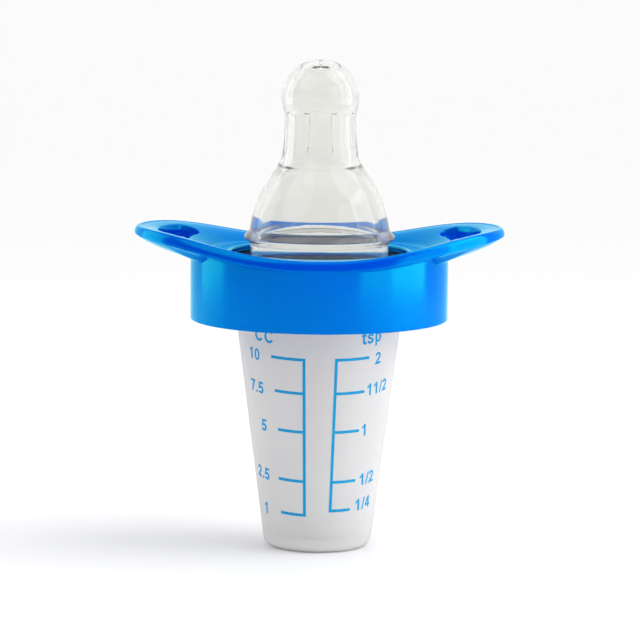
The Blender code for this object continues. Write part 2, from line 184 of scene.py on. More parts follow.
def smooth_line(points, steps):
    """A Catmull-Rom curve through the points, with this many steps in each stretch."""
    found = []
    for i in range(len(points) - 1):
        before = points[max(i - 1, 0)]
        a, b = points[i], points[i + 1]
        after = points[min(i + 2, len(points) - 1)]
        for k in range(steps):
            t = k / steps
            found.append(
                tuple(
                    0.5
                    * (
                        2 * a[j]
                        + (b[j] - before[j]) * t
                        + (2 * before[j] - 5 * a[j] + 4 * b[j] - after[j]) * t**2
                        + (3 * a[j] - before[j] - 3 * b[j] + after[j]) * t**3
                    )
                    for j in range(2)
                )
            )
    found.append(points[-1])
    return found


def rounded(points, radius, steps=4):
    """The line of (r, z) with each corner cut by a curve that starts and ends radius away from it."""
    found = [points[0]]
    for before, corner, after in zip(points, points[1:], points[2:]):
        c = Vector(corner)
        to_before, to_after = Vector(before) - c, Vector(after) - c
        a = c + to_before.normalized() * min(radius, to_before.length * 0.45)
        b = c + to_after.normalized() * min(radius, to_after.length * 0.45)
        for i in range(steps + 1):
            t = i / steps
            found.append(tuple(a * (1 - t) ** 2 + c * 2 * t * (1 - t) + b * t**2))
    found.append(points[-1])
    return found


def smoothstep(x):
    x = min(1.0, max(0.0, x))
    return x * x * (3 - 2 * x)


def shade(mesh, sharp=SHARP_DEGREES):
    mesh.shade_smooth()
    mesh.set_sharp_from_angle(angle=math.radians(sharp))


def finish_mesh(name, shape, sharp=SHARP_DEGREES):
    """An object from a bmesh, with its faces out and shaded smooth."""
    bmesh.ops.recalc_face_normals(shape, faces=shape.faces)
    mesh = bpy.data.meshes.new(name)
    shape.to_mesh(mesh)
    shape.free()
    shade(mesh, sharp)
    made = bpy.data.objects.new(name, mesh)
    bpy.context.scene.collection.objects.link(made)
    return made


def revolve(shape, section_at, steps, closed):
    """Faces of a ring about Z. section_at(angle) gives its (r, z) points. A section that isn't closed
    starts and ends on the axis."""
    rings = []
    poles = None
    for i in range(steps):
        angle = math.tau * i / steps
        section = section_at(angle)
        if not closed and poles is None:
            poles = [shape.verts.new((0, 0, section[k][1])) for k in (0, -1)]
        inner = section if closed else section[1:-1]
        ring = [shape.verts.new((r * math.cos(angle), r * math.sin(angle), z)) for r, z in inner]
        rings.append(ring if closed else [poles[0], *ring, poles[1]])
    for i, ring in enumerate(rings):
        following = rings[(i + 1) % steps]
        last = len(ring) if closed else len(ring) - 1
        for k in range(last):
            n = (k + 1) % len(ring)
            corners = (ring[k], following[k], following[n], ring[n])
            shape.faces.new(list(dict.fromkeys(corners)))


def thread_ridge(name, wall_radius, outward, lower_end):
    """A right-hand thread's ridge on a wall, tapering out at both ends, as a closed solid."""
    steps = round(ROUND_STEPS * THREAD_TURNS)
    fade = ROUND_STEPS // 8
    shape = bmesh.new()
    rings = []
    for i in range(steps + 1):
        turn = THREAD_TURNS * i / steps
        angle = math.tau * turn
        grown = smoothstep((min(i, steps - i) + 1) / fade)
        root = wall_radius - outward * THREAD_SUNK
        crest = wall_radius + outward * (THREAD_DEPTH - THREAD_SHORT) * max(grown, LEAST_CREST)
        knee = wall_radius + outward * (THREAD_DEPTH - THREAD_KNEE) * max(grown, LEAST_KNEE)
        half_root, half_crest = THREAD_ROOT_WIDTH / 2, THREAD_CREST_WIDTH / 2
        section = (
            (root, -half_root),
            (root, half_root),
            (knee, half_crest * 1.25),
            (crest, half_crest * 0.7),
            (crest, -half_crest * 0.7),
            (knee, -half_crest * 1.25),
        )
        height = lower_end + THREAD_PITCH * turn
        rings.append(
            [
                shape.verts.new((r * math.cos(angle), r * math.sin(angle), height + z))
                for r, z in section
            ]
        )
    for ring, following in zip(rings, rings[1:]):
        for k in range(len(ring)):
            n = (k + 1) % len(ring)
            shape.faces.new((ring[k], following[k], following[n], ring[n]))
    shape.faces.new(rings[0])
    shape.faces.new(list(reversed(rings[-1])))
    return finish_mesh(name, shape)


def unite(target, tool):
    """Joins tool to target with a Boolean union, and removes tool."""
    change = target.modifiers.new("Unite", "BOOLEAN")
    change.operation = "UNION"
    change.object = tool
    change.solver = "EXACT"
    depsgraph = bpy.context.evaluated_depsgraph_get()
    mesh = bpy.data.meshes.new_from_object(target.evaluated_get(depsgraph))
    target.modifiers.remove(change)
    target.data = mesh
    bpy.data.objects.remove(tool)
    shade(mesh)


# ---- Vial ----------------------------------------------------------------------------------------


def wall_radius(z):
    """The vial's outer radius on its tapered wall."""
    return VIAL_BASE_RADIUS + TAPER * z


def cavity_radius(z):
    wall = VIAL_BASE_WALL + (VIAL_TOP_WALL - VIAL_BASE_WALL) * z / NECK_FOOT
    return wall_radius(z) - wall


def vial_section(_angle):
    """From the floor's centre up the inside, over the rim, down the outside and in to the base's centre."""
    lean = math.degrees(math.atan(TAPER))
    reach = VIAL_BASE_ROUND * math.tan(math.radians((90 - lean) / 2))
    base_centre = VIAL_BASE_RADIUS - reach
    inner_round = 1.3 * MM
    inside = rounded(
        [
            (0.0, VIAL_FLOOR),
            (cavity_radius(VIAL_FLOOR), VIAL_FLOOR),
            (cavity_radius(NECK_FOOT), NECK_FOOT),
            (NECK_RADIUS - NECK_WALL, NECK_FOOT + SHOULDER_RISE * 1.5),
            (NECK_RADIUS - NECK_WALL, VIAL_TOP - 0.5 * MM),
        ],
        inner_round,
        6,
    )
    rim_centre = VIAL_TOP - VIAL_RIM_ROUND
    rim = [
        *round_corner(NECK_RADIUS - NECK_WALL + VIAL_RIM_ROUND, rim_centre, VIAL_RIM_ROUND, 180),
        *round_corner(NECK_RADIUS - VIAL_RIM_ROUND, rim_centre, VIAL_RIM_ROUND, 90),
    ]
    outside = rounded(
        [
            (NECK_RADIUS, VIAL_TOP - 0.6 * MM),
            (NECK_RADIUS, NECK_FOOT),
            (WALL_TOP_RADIUS, NECK_FOOT - SHOULDER_RISE),
            (wall_radius(VIAL_BASE_ROUND * 1.2), VIAL_BASE_ROUND * 1.2),
        ],
        0.7 * MM,
    )
    base = arc(base_centre, VIAL_BASE_ROUND, VIAL_BASE_ROUND, VIAL_BASE_ROUND, -lean, -90, 10)
    recess = rounded(
        [
            (BASE_RECESS_RADIUS + 0.5 * MM, 0.0),
            (BASE_RECESS_RADIUS, 0.0),
            (BASE_RECESS_RADIUS - 0.5 * MM, BASE_RECESS),
            (1.0 * MM, BASE_RECESS),
            (0.8 * MM, BASE_RECESS - 0.12 * MM),
            (0.0, BASE_RECESS - 0.12 * MM),
        ],
        0.15 * MM,
        3,
    )
    long_wall = line(outside[-2], outside[-1], 24)
    return [*inside[:-1], *rim, *outside[:-2], *long_wall, *base, *recess]


def make_vial():
    shape = bmesh.new()
    revolve(shape, vial_section, ROUND_STEPS, closed=False)
    vial = finish_mesh("frosted_vial", shape)
    lower_end = VIAL_TOP - THREAD_BELOW_RIM - THREAD_PITCH * THREAD_TURNS
    unite(vial, thread_ridge("vial_thread", NECK_RADIUS, 1, lower_end))
    return vial


# ---- Nipple --------------------------------------------------------------------------------------


def nipple_outside():
    """From the tip's hole down the outside to the flange's lower edge."""
    flat_angle = math.degrees(math.acos(TIP_FLAT_RADIUS / HEAD_RADIUS))
    z = LIP_BOTTOM
    silhouette = smooth_line(
        [
            (6.55 * MM, HEAD_CENTRE - 1.2 * MM),
            (6.28 * MM, HEAD_CENTRE - 2.3 * MM),
            (6.13 * MM, HEAD_CENTRE - 3.3 * MM),
            (6.15 * MM, HEAD_CENTRE - 4.6 * MM),
            (6.22 * MM, HEAD_CENTRE - 6.2 * MM),
            (6.35 * MM, z + 17.0 * MM),
            (6.67 * MM, z + 14.9 * MM),
            (7.27 * MM, z + 13.55 * MM),
            (8.17 * MM, z + 12.2 * MM),
            (9.07 * MM, z + 10.8 * MM),
            (9.89 * MM, z + 9.4 * MM),
            (10.52 * MM, z + 8.0 * MM),
            (11.06 * MM, z + 6.6 * MM),
            (11.5 * MM, z + 5.2 * MM),
            (11.86 * MM, z + 3.7 * MM),
            (12.15 * MM, z + 2.2 * MM),
        ],
        5,
    )
    lip = rounded(
        [
            silhouette[-1],
            (LIP_RADIUS, z + 1.05 * MM),
            (LIP_RADIUS, z + 0.7 * MM),
            (GROOVE_RADIUS, z),
            (GROOVE_RADIUS, FLANGE_TOP),
            (FLANGE_RADIUS, FLANGE_TOP),
            (FLANGE_RADIUS, FLANGE_BOTTOM),
            (FLANGE_RADIUS - 1.0 * MM, FLANGE_BOTTOM),
        ],
        0.25 * MM,
    )
    return [
        (TIP_HOLE_RADIUS, TIP_TOP - 0.35 * MM),
        (TIP_HOLE_RADIUS * 1.6, TIP_TOP - 0.12 * MM),
        (TIP_HOLE_RADIUS * 2.6, TIP_TOP - 0.02 * MM),
        *arc(0.0, HEAD_CENTRE, HEAD_RADIUS, HEAD_RADIUS, flat_angle, -8, 26),
        *silhouette[:-1],
        *lip,
    ]


BORE_RADIUS = 4.5 * MM
HEAD_ROOM_RADIUS = 4.6 * MM
BELL_ROOM_RADIUS = 10.75 * MM
RING_Z = LIP_BOTTOM + 12.9 * MM  # where the bore opens into the bell


def nipple_inside():
    """From the flange's lower face up inside the bell, the waist and the head to the tip's hole."""
    room = smooth_line(
        [
            (BELL_ROOM_RADIUS, LIP_BOTTOM + 4.3 * MM),
            (10.42 * MM, LIP_BOTTOM + 5.4 * MM),
            (9.8 * MM, LIP_BOTTOM + 7.0 * MM),
            (9.05 * MM, LIP_BOTTOM + 8.5 * MM),
            (8.2 * MM, LIP_BOTTOM + 9.9 * MM),
            (7.2 * MM, LIP_BOTTOM + 11.2 * MM),
            (6.15 * MM, LIP_BOTTOM + 12.3 * MM),
            (5.5 * MM, RING_Z),
            (5.25 * MM, RING_Z + 0.4 * MM),
        ],
        6,
    )
    waist = smooth_line(
        [
            (5.15 * MM, RING_Z + 0.6 * MM),
            (4.9 * MM, RING_Z + 1.3 * MM),
            (4.7 * MM, RING_Z + 2.2 * MM),
            (BORE_RADIUS, RIB_BOTTOM + 1.5 * MM),
            (BORE_RADIUS - 0.1 * MM, RIB_TOP),
        ],
        6,
    )
    steps = rounded(
        [
            waist[-1],
            (HEAD_ROOM_RADIUS, RIB_TOP + 1.0 * MM),
            (HEAD_ROOM_RADIUS, HEAD_CENTRE + 0.6 * MM),
        ],
        0.8 * MM,
    )
    top = HEAD_CENTRE + 4.4 * MM
    dome = arc(0.0, HEAD_CENTRE + 0.6 * MM, HEAD_ROOM_RADIUS, 3.8 * MM, 6, 50, 10)
    flat = rounded(
        [
            dome[-1],
            (2.45 * MM, top - 0.1 * MM),
            (1.4 * MM, top + 0.15 * MM),
            (TIP_HOLE_RADIUS, top + 0.15 * MM),
            (TIP_HOLE_RADIUS, top + 0.8 * MM),
        ],
        0.2 * MM,
    )
    return [
        (BELL_ROOM_RADIUS + 0.5 * MM, FLANGE_BOTTOM),
        (BELL_ROOM_RADIUS + 0.1 * MM, FLANGE_BOTTOM + 0.2 * MM),
        (BELL_ROOM_RADIUS, FLANGE_BOTTOM + 0.6 * MM),
        *room,
        *waist,
        *steps[1:],
        *dome[:-1],
        *flat,
    ]


def dense_between(points, low, high, step):
    """The line with extra points on stretches between two heights, none longer than step."""
    found = [points[0]]
    for a, b in zip(points, points[1:]):
        length = math.dist(a, b)
        pieces = 1
        if low <= a[1] <= high and low <= b[1] <= high:
            pieces = max(1, math.ceil(length / step))
        found += line(a, b, pieces)[1:]
    return found


def rib_height(angle, z):
    """How far the ribs inside the waist stand in from its wall here."""
    if not RIB_BOTTOM <= z <= RIB_TOP + RIB_FADE:
        return 0.0
    gap = angle % (math.tau / RIB_COUNT)
    gap = min(gap, math.tau / RIB_COUNT - gap)
    up = (z - RIB_BOTTOM) / (RIB_TOP - RIB_BOTTOM)
    half = (0.33 + 0.22 * up) * MM  # a rib is wider towards its top
    across = gap * BORE_RADIUS
    end = smoothstep((z - RIB_BOTTOM) / (0.5 * MM)) * smoothstep((RIB_TOP + RIB_FADE - z) / (0.3 * MM))
    return RIB_DEPTH * smoothstep((half + RIB_EDGE - across) / (2 * RIB_EDGE)) * end


def make_nipple():
    outside = nipple_outside()
    inside = dense_between(nipple_inside(), RIB_BOTTOM - 1 * MM, RIB_TOP + 1 * MM, 0.25 * MM)

    def section(angle):
        return outside + [(r - rib_height(angle, z), z) for r, z in inside]

    shape = bmesh.new()
    revolve(shape, section, NIPPLE_STEPS, closed=True)
    return finish_mesh("silicone_nipple", shape, NIPPLE_SHARP_DEGREES)


# ---- Collar --------------------------------------------------------------------------------------


def rim_climb(x):
    """How far the rim has climbed at this distance to the side, levelling out at a wing's tip."""
    share = min(1.0, abs(x) / SHIELD_HALF_WIDTH)
    return WING_RISE * math.sin(math.pi / 2 * share**1.2) ** 2


def edge_radius(angle):
    """The shield's outline seen from above."""
    front = SKIRT_RADIUS + FRONT_OVERHANG
    return SHIELD_HALF_WIDTH * front / math.hypot(
        front * math.cos(angle), SHIELD_HALF_WIDTH * math.sin(angle)
    )


def side_angle(angle):
    """The angle from the nearer wing's middle line, 0 to 90 degrees, in radians."""
    a = angle % math.pi
    return min(a, math.pi - a)


HOLE_END_ANGLE = math.asin(FINGER_HOLE_HALF / FINGER_HOLE_INNER)
HOLE_CLOSING = 1.5 * MM / FINGER_HOLE_INNER  # the turn over which its ends close
HOLE_END_SHARE = 0.12  # the share of its width left where it ends
HOLE_BLEND = math.radians(22)  # the turn beyond it over which the columns become even
EVEN_SHARES = (0.35, 0.7)


def hole_outer_radius(a):
    """The finger hole's outer edge at this angle from the wing's middle line."""
    end_radius = FINGER_HOLE_INNER + FINGER_HOLE_END
    end_x, end_y = end_radius * math.cos(HOLE_END_ANGLE), end_radius * math.sin(HOLE_END_ANGLE)
    half_depth = end_y / math.sqrt(1 - (end_x / FINGER_HOLE_OUTER) ** 2)
    return 1 / math.hypot(math.cos(a) / FINGER_HOLE_OUTER, math.sin(a) / half_depth)


def underside(angle, share, rim_bottom, overhang):
    """The underside's height at this share of the way from the rim to the skirt."""
    from_wing = side_angle(angle)
    beside = rim_bottom - HULL_SLOPE * overhang
    heights = []
    for turn, bow in ((FULL_TURN, FULL_BOW), (HOLLOW_TURN, HOLLOW_BOW)):
        outward = smoothstep((from_wing - turn) / (HULL_TURN - turn))
        corner = HULL_LOWEST + (beside - HULL_LOWEST) * outward
        heights.append(rim_bottom + (corner - rim_bottom) * share ** (bow + (HULL_BOW - bow) * outward))
    full, hollow = heights
    in_front = smoothstep(0.5 - math.sin(angle) / math.sin(SIDE_TURN) / 2)
    return hollow + (full - hollow) * in_front


TOP_CELLS = (6, 8, 6)  # cells from the floor to the finger hole, across it, and on to the rim
HULL_CELLS = (6, 8, 3)  # cells from the rim's lower edge to the hole, across it, and on to the skirt


def stations(start, end, hole_in, hole_out, blend):
    """Two radii between start and end: the finger hole's edges near it, and even shares away from it."""
    even_in, even_out = (start + (end - start) * share for share in EVEN_SHARES)
    return hole_in + (even_in - hole_in) * blend, hole_out + (even_out - hole_out) * blend


def spread(radii, cells):
    """Radii along a line, with this many even cells in each stretch between the given ones."""
    found = [radii[0]]
    for a, b, count in zip(radii, radii[1:], cells):
        found += [a + (b - a) * (i + 1) / count for i in range(count)]
    return found


def collar_section(angle):
    """The collar cut by an upright plane at this angle, and where the finger hole's columns are."""
    edge = edge_radius(angle)
    x = edge * math.cos(angle)
    rim = RIM_TOP + rim_climb(x)
    rim_inner = edge - RIM_WIDTH
    a = side_angle(angle)
    rim_height = RIM_HEIGHT - TIP_THINNING * max(0.0, 1 - a / HULL_TURN) ** 1.5
    blend = smoothstep((a - HOLE_END_ANGLE) / HOLE_BLEND)
    hole_a = min(a, HOLE_END_ANGLE)
    hole_in, hole_out = FINGER_HOLE_INNER, hole_outer_radius(hole_a)
    closing = max(0.0, 1 - (HOLE_END_ANGLE - hole_a) / HOLE_CLOSING)
    pinch = (hole_out - hole_in) / 2 * (1 - max(HOLE_END_SHARE, math.sqrt(1 - closing**2)))
    hole_in, hole_out = hole_in + pinch, hole_out - pinch

    def dish(r):
        share = min(1.0, max(0.0, (r - DISH_FLAT_RADIUS) / (rim_inner - DISH_FLAT_RADIUS)))
        return DISH_FLOOR + (rim - DISH_BELOW_RIM - DISH_FLOOR) * (1 - (1 - share) ** DISH_BOW)

    top_in, top_out = stations(DISH_FLAT_RADIUS, rim_inner, hole_in, hole_out, blend)
    top_radii = spread((DISH_FLAT_RADIUS, top_in, top_out, rim_inner), TOP_CELLS)
    top = [(r, dish(r)) for r in top_radii]

    hole_round = 0.35 * MM
    hub = [
        *round_corner(DISH_HOLE_RADIUS + hole_round, DISH_FLOOR - hole_round, hole_round, 180),
        *line((DISH_HOLE_RADIUS + 2 * hole_round, DISH_FLOOR), (DISH_FLAT_RADIUS, DISH_FLOOR), 4)[:-1],
    ]
    outer = RIM_WIDTH * RIM_FACE_SHARE
    inner = RIM_WIDTH * (1 - RIM_FACE_SHARE)
    crest = arc(edge - outer, rim - RIM_CREST, inner, RIM_CREST, 130, 90, 3)[1:]
    face = arc(edge - outer, rim - rim_height, outer, rim_height, 84, 4, 9)

    rim_bottom = rim - rim_height
    hull_in, hull_out = stations(SKIRT_RADIUS, edge, hole_in, hole_out, blend)
    hull_radii = spread((edge - HULL_INSET, hull_out, hull_in, SKIRT_RADIUS), HULL_CELLS)

    def hull(r):
        share = min(1.0, max(0.0, (edge - r) / (edge - SKIRT_RADIUS)))
        return underside(angle, share, rim_bottom, edge - SKIRT_RADIUS)

    under = [(r, hull(r)) for r in hull_radii]

    edge_round = 0.3 * MM
    gap_top = DISH_FLOOR - 2.0 * MM
    ring_bottom = SKIRT_BOTTOM + 1.2 * MM
    inside = rounded(
        [
            (SKIRT_RADIUS, hull(SKIRT_RADIUS) - 0.6 * MM),
            (SKIRT_RADIUS, SKIRT_BOTTOM),
            (SKIRT_INNER_RADIUS, SKIRT_BOTTOM),
            (SKIRT_INNER_RADIUS, gap_top),
            (RING_OUTER_RADIUS, gap_top),
            (RING_OUTER_RADIUS, ring_bottom),
            (RING_INNER_RADIUS, ring_bottom),
            (RING_INNER_RADIUS, PLATE_BOTTOM),
            (DISH_HOLE_RADIUS, PLATE_BOTTOM),
            (DISH_HOLE_RADIUS, DISH_FLOOR - hole_round * 2),
        ],
        edge_round,
    )
    section = [*hub, *top, *crest, *face, *under, *inside]
    first_top = len(hub) + TOP_CELLS[0]
    first_hull = len(hub) + len(top) + len(crest) + len(face) + HULL_CELLS[0]
    return section, first_top, first_hull


def make_collar():
    """Lofts the collar, then opens the finger holes: the faces over and under each are left out, and
    walls join their edges."""
    steps = COLLAR_STEPS
    sections = [collar_section(math.tau * i / steps) for i in range(steps)]
    first_top, first_hull = sections[0][1:]
    across = TOP_CELLS[1]
    reach = round(HOLE_END_ANGLE / math.tau * steps)
    shape = bmesh.new()
    rings = []
    for i, (section, _, _) in enumerate(sections):
        angle = math.tau * i / steps
        rings.append(
            [shape.verts.new((r * math.cos(angle), r * math.sin(angle), z)) for r, z in section]
        )
    hole_edges = []
    for i, ring in enumerate(rings):
        following = rings[(i + 1) % steps]
        from_middle = min(i % (steps // 2), steps // 2 - 1 - i % (steps // 2))
        over_hole = from_middle < reach
        for k in range(len(ring)):
            n = (k + 1) % len(ring)
            in_top = first_top <= k < first_top + across
            in_hull = first_hull <= k < first_hull + across
            if over_hole and (in_top or in_hull):
                continue
            shape.faces.new((ring[k], following[k], following[n], ring[n]))
        if over_hole:
            for step in (0, across):
                t, h = first_top + step, first_hull + across - step
                shape.faces.new((ring[t], following[t], following[h], ring[h]))
                hole_edges += [(ring[t], following[t]), (ring[h], following[h])]
    for middle in (0, steps // 2):
        for i in (middle - reach, middle + reach):
            ring = rings[i % steps]
            for k in range(across):
                t, h = first_top + k, first_hull + across - k
                shape.faces.new((ring[t], ring[t + 1], ring[h - 1], ring[h]))
                hole_edges += [(ring[t], ring[t + 1]), (ring[h - 1], ring[h])]
    soft = [shape.edges.get(pair) for pair in hole_edges]
    bmesh.ops.recalc_face_normals(shape, faces=shape.faces)
    bmesh.ops.bevel(
        shape,
        geom=soft,
        offset=FINGER_HOLE_ROUND,
        segments=2,
        profile=0.5,
        affect="EDGES",
        clamp_overlap=True,
    )
    collar = finish_mesh("blue_shield_collar", shape)
    lower_end = VIAL_TOP - THREAD_BELOW_RIM - THREAD_PITCH * THREAD_TURNS - THREAD_DROP
    unite(collar, thread_ridge("collar_thread", RING_INNER_RADIUS, -1, lower_end))
    return collar


# ---- Print on the vial ---------------------------------------------------------------------------

INK_PROUD = 0.035 * MM
INK_SUNK = 0.03 * MM
STROKE = 0.5 * MM
CUT_ACROSS = 0.35 * MM  # how far apart the ink is cut, so that it follows the wall
CUT_ALONG = 1.5 * MM
CUT_TOLERANCE = 1e-8
MERGE_DISTANCE = 1e-7
APEX = -VIAL_BASE_RADIUS / TAPER  # where the tapered wall would meet the axis
LEAN = math.atan(TAPER)


def flat_place(degrees, z):
    """A place on the unrolled cone, from its angle round the vial and its height."""
    along = (z - APEX) / math.cos(LEAN)
    turn = math.radians(degrees) * math.sin(LEAN)
    return Vector((along * math.sin(turn), along * math.cos(turn)))


def wrap(place, proud):
    """A flat place wrapped back on the vial. Angle 0 is the front, and positive goes to +X."""
    along = place.length
    turn = math.atan2(place.x, place.y) / math.sin(LEAN)
    z = APEX + along * math.cos(LEAN)
    r = wall_radius(z) + proud / math.cos(LEAN)
    return Vector((r * math.sin(turn), -r * math.cos(turn), z))


def ink_solid(name, shape):
    """A thin closed layer of ink from a flat bmesh in the unrolled cone's plane."""
    for axis, normal, step in ((0, (1, 0, 0), CUT_ACROSS), (1, (0, 1, 0), CUT_ALONG)):
        values = [v.co[axis] for v in shape.verts]
        at = math.floor(min(values) / step) * step
        while at < max(values):
            bmesh.ops.bisect_plane(
                shape,
                geom=[*shape.verts, *shape.edges, *shape.faces],
                dist=CUT_TOLERANCE,
                plane_co=Vector(normal) * at,
                plane_no=normal,
            )
            at += step
    bmesh.ops.remove_doubles(shape, verts=shape.verts, dist=MERGE_DISTANCE)
    bmesh.ops.recalc_face_normals(shape, faces=shape.faces)
    flat = {v: Vector((v.co.x, v.co.y)) for v in shape.verts}
    raised = bmesh.ops.extrude_face_region(shape, geom=list(shape.faces))
    upper = [g for g in raised["geom"] if isinstance(g, bmesh.types.BMVert)]
    for v in upper:
        v.co = wrap(Vector((v.co.x, v.co.y)), INK_PROUD)
    for v, place in flat.items():
        v.co = wrap(place, -INK_SUNK)
    return finish_mesh(name, shape)


def add_stroke(shape, start, end, width):
    """A flat bar between two places, with square ends."""
    along = (end - start).normalized()
    side = Vector((-along.y, along.x)) * width / 2
    corners = [start - side, end - side, end + side, start + side]
    shape.faces.new([shape.verts.new((p.x, p.y, 0)) for p in corners])


# Each mark: its label, its height, its outer end's angle, and its label's centre as angle and height.
# Heights are in millimetres and angles in degrees.
CC_MARKS = (
    ("10", 34.3, -36.4, -53.4, 34.7),
    ("7.5", 28.4, -35.2, -54.5, 28.9),
    ("5", 21.6, -34.7, -49.6, 22.2),
    ("2.5", 12.85, -37.6, -58.4, 13.6),
    ("1", 6.85, -37.8, -59.0, 7.3),
)
TSP_MARKS = (
    ("2", 34.3, 39.4, 48.8, 34.2),
    ("11/2", 28.4, 37.7, 52.3, 29.0),
    ("1", 21.6, 35.7, 41.8, 21.7),
    ("1/2", 12.75, 36.6, 51.6, 13.0),
    ("1/4", 7.65, 33.2, 49.9, 8.5),
)
CC_LINE = (-10.4, -12.5)  # the upright line's angle at its top and bottom mark
TSP_LINE = (13.0, 12.5)
CC_HEADING = -41.4  # the angle of the heading's centre
TSP_HEADING = 40.7
LABEL_HEIGHT = 2.1 * MM
HEADING_HEIGHT = 2.3 * MM
HEADING_CENTRE = 38.1 * MM
STRIPE_LOW = 13 * MM
STRIPE_HIGH = 40 * MM
STRIPE_WIDTH = 4.4 * MM


def make_ladder(marks, upright):
    """One upright line with a tick at each mark, as flat bars."""
    top_z, bottom_z = marks[0][1] * MM, marks[-1][1] * MM
    top, bottom = flat_place(upright[0], top_z), flat_place(upright[1], bottom_z)
    along = (top - bottom).normalized()
    across = Vector((along.y, -along.x)) * math.copysign(1, upright[0])
    shape = bmesh.new()
    add_stroke(shape, bottom - along * STROKE / 2, top + along * STROKE / 2, STROKE)
    for _, height, end_angle, _, _ in marks:
        start = bottom.lerp(top, (height * MM - bottom_z) / (top_z - bottom_z))
        length = abs((flat_place(end_angle, height * MM) - start).dot(across))
        add_stroke(shape, start + across * STROKE / 2, start + across * length, STROKE)
    return shape


# Glyphs are drawn with a capital's height of 1, as closed outlines. An outline inside another is a hole.
WEIGHT = 0.185
HALF_WEIGHT = WEIGHT / 2
DRAWN_HEIGHT = 100  # glyphs are filled at this height, then brought to the label's


def bar_outline(points, weight=WEIGHT):
    """The outline of a stroke of even width along the points, with mitred corners."""
    places = [Vector(p) for p in points]
    sides = ([], [])
    for i, place in enumerate(places):
        before = (place - places[i - 1]).normalized() if i else None
        after = (places[i + 1] - place).normalized() if i + 1 < len(places) else None
        along = (before or after) + (after or before)
        along.normalize()
        normal = Vector((-along.y, along.x))
        lean = max(0.35, along.dot(after or before))
        for side, sign in zip(sides, (1, -1)):
            side.append(place + normal * sign * weight / 2 / lean)
    return sides[0] + sides[1][::-1]


def oval(x, y, half_x, half_y, start=0, end=345, steps=23):
    """An ellipse, or a stretch of one between two angles in degrees."""
    return arc(x, y, half_x, half_y, start, end, steps)


GLYPHS = {  # character: (advance, outlines)
    "0": (0.76, [oval(0.34, 0.5, 0.3, 0.51), oval(0.34, 0.5, 0.3 - WEIGHT, 0.51 - WEIGHT * 0.85)]),
    "1": (
        0.76,
        [
            [
                (0.3, 0), (0.49, 0), (0.49, 1), (0.34, 1),
                (0.25, 0.87), (0.09, 0.78), (0.09, 0.62), (0.3, 0.72),
            ]
        ],
    ),
    "2": (
        0.76,
        [
            bar_outline(
                [
                    *oval(0.34, 0.69, 0.215, 0.22, 172, -30, 12),
                    (0.42, 0.42),
                    (0.24, 0.25),
                    (0.13, HALF_WEIGHT),
                    (0.65, HALF_WEIGHT),
                ]
            )
        ],
    ),
    "4": (
        0.76,
        [
            [
                (0.38, 0), (0.56, 0), (0.56, 0.21), (0.67, 0.21), (0.67, 0.37), (0.56, 0.37),
                (0.56, 1), (0.4, 1), (0.03, 0.38), (0.03, 0.21), (0.38, 0.21),
            ],
            [(0.38, 0.37), (0.2, 0.37), (0.38, 0.69)],
        ],
    ),
    "5": (
        0.76,
        [
            bar_outline(
                [
                    (0.61, 1 - HALF_WEIGHT),
                    (0.2, 1 - HALF_WEIGHT),
                    (0.15, 0.5),
                    *oval(0.33, 0.33, 0.225, 0.24, 130, -155, 16),
                ]
            )
        ],
    ),
    "7": (0.76, [bar_outline([(0.06, 0.9), (0.6, 0.9), (0.42, 0.58), (0.32, 0.3), (0.28, 0)])]),
    ".": (0.38, [[(0.1, 0), (0.29, 0), (0.29, 0.19), (0.1, 0.19)]]),
    "/": (0.42, [[(0, -0.02), (0.13, -0.02), (0.4, 1.02), (0.27, 1.02)]]),
    "C": (1.0, [bar_outline(oval(0.48, 0.5, 0.34, 0.42, 38, 322, 24))]),
    "s": (
        0.74,
        [
            bar_outline(
                smooth_line(
                    [
                        (0.57, 0.54), (0.46, 0.66), (0.32, 0.68), (0.17, 0.62), (0.15, 0.5), (0.26, 0.42),
                        (0.44, 0.34), (0.55, 0.24), (0.48, 0.11), (0.33, 0.07), (0.17, 0.1), (0.09, 0.21),
                    ],
                    2,
                ),
                WEIGHT * 0.9,
            )
        ],
    ),
    "t": (
        0.5,
        [
            [
                (0.13, 0.59), (0.03, 0.59), (0.03, 0.74), (0.13, 0.74), (0.13, 0.9), (0.31, 1),
                (0.31, 0.74), (0.45, 0.74), (0.45, 0.59), (0.31, 0.59), (0.31, 0.22), (0.34, 0.15),
                (0.45, 0.16), (0.46, 0.01), (0.36, -0.02), (0.24, -0.01), (0.15, 0.06), (0.13, 0.19),
            ]
        ],
    ),
    "p": (
        0.8,
        [
            [
                (0.08, 0.74), (0.08, -0.27), (0.26, -0.27), (0.26, 0.05),
                *oval(0.41, 0.37, 0.29, 0.385, -118, 118, 16), (0.25, 0.65), (0.25, 0.74),
            ],
            oval(0.38, 0.37, 0.12, 0.24, 0, 330, 11),
        ],
    ),
}


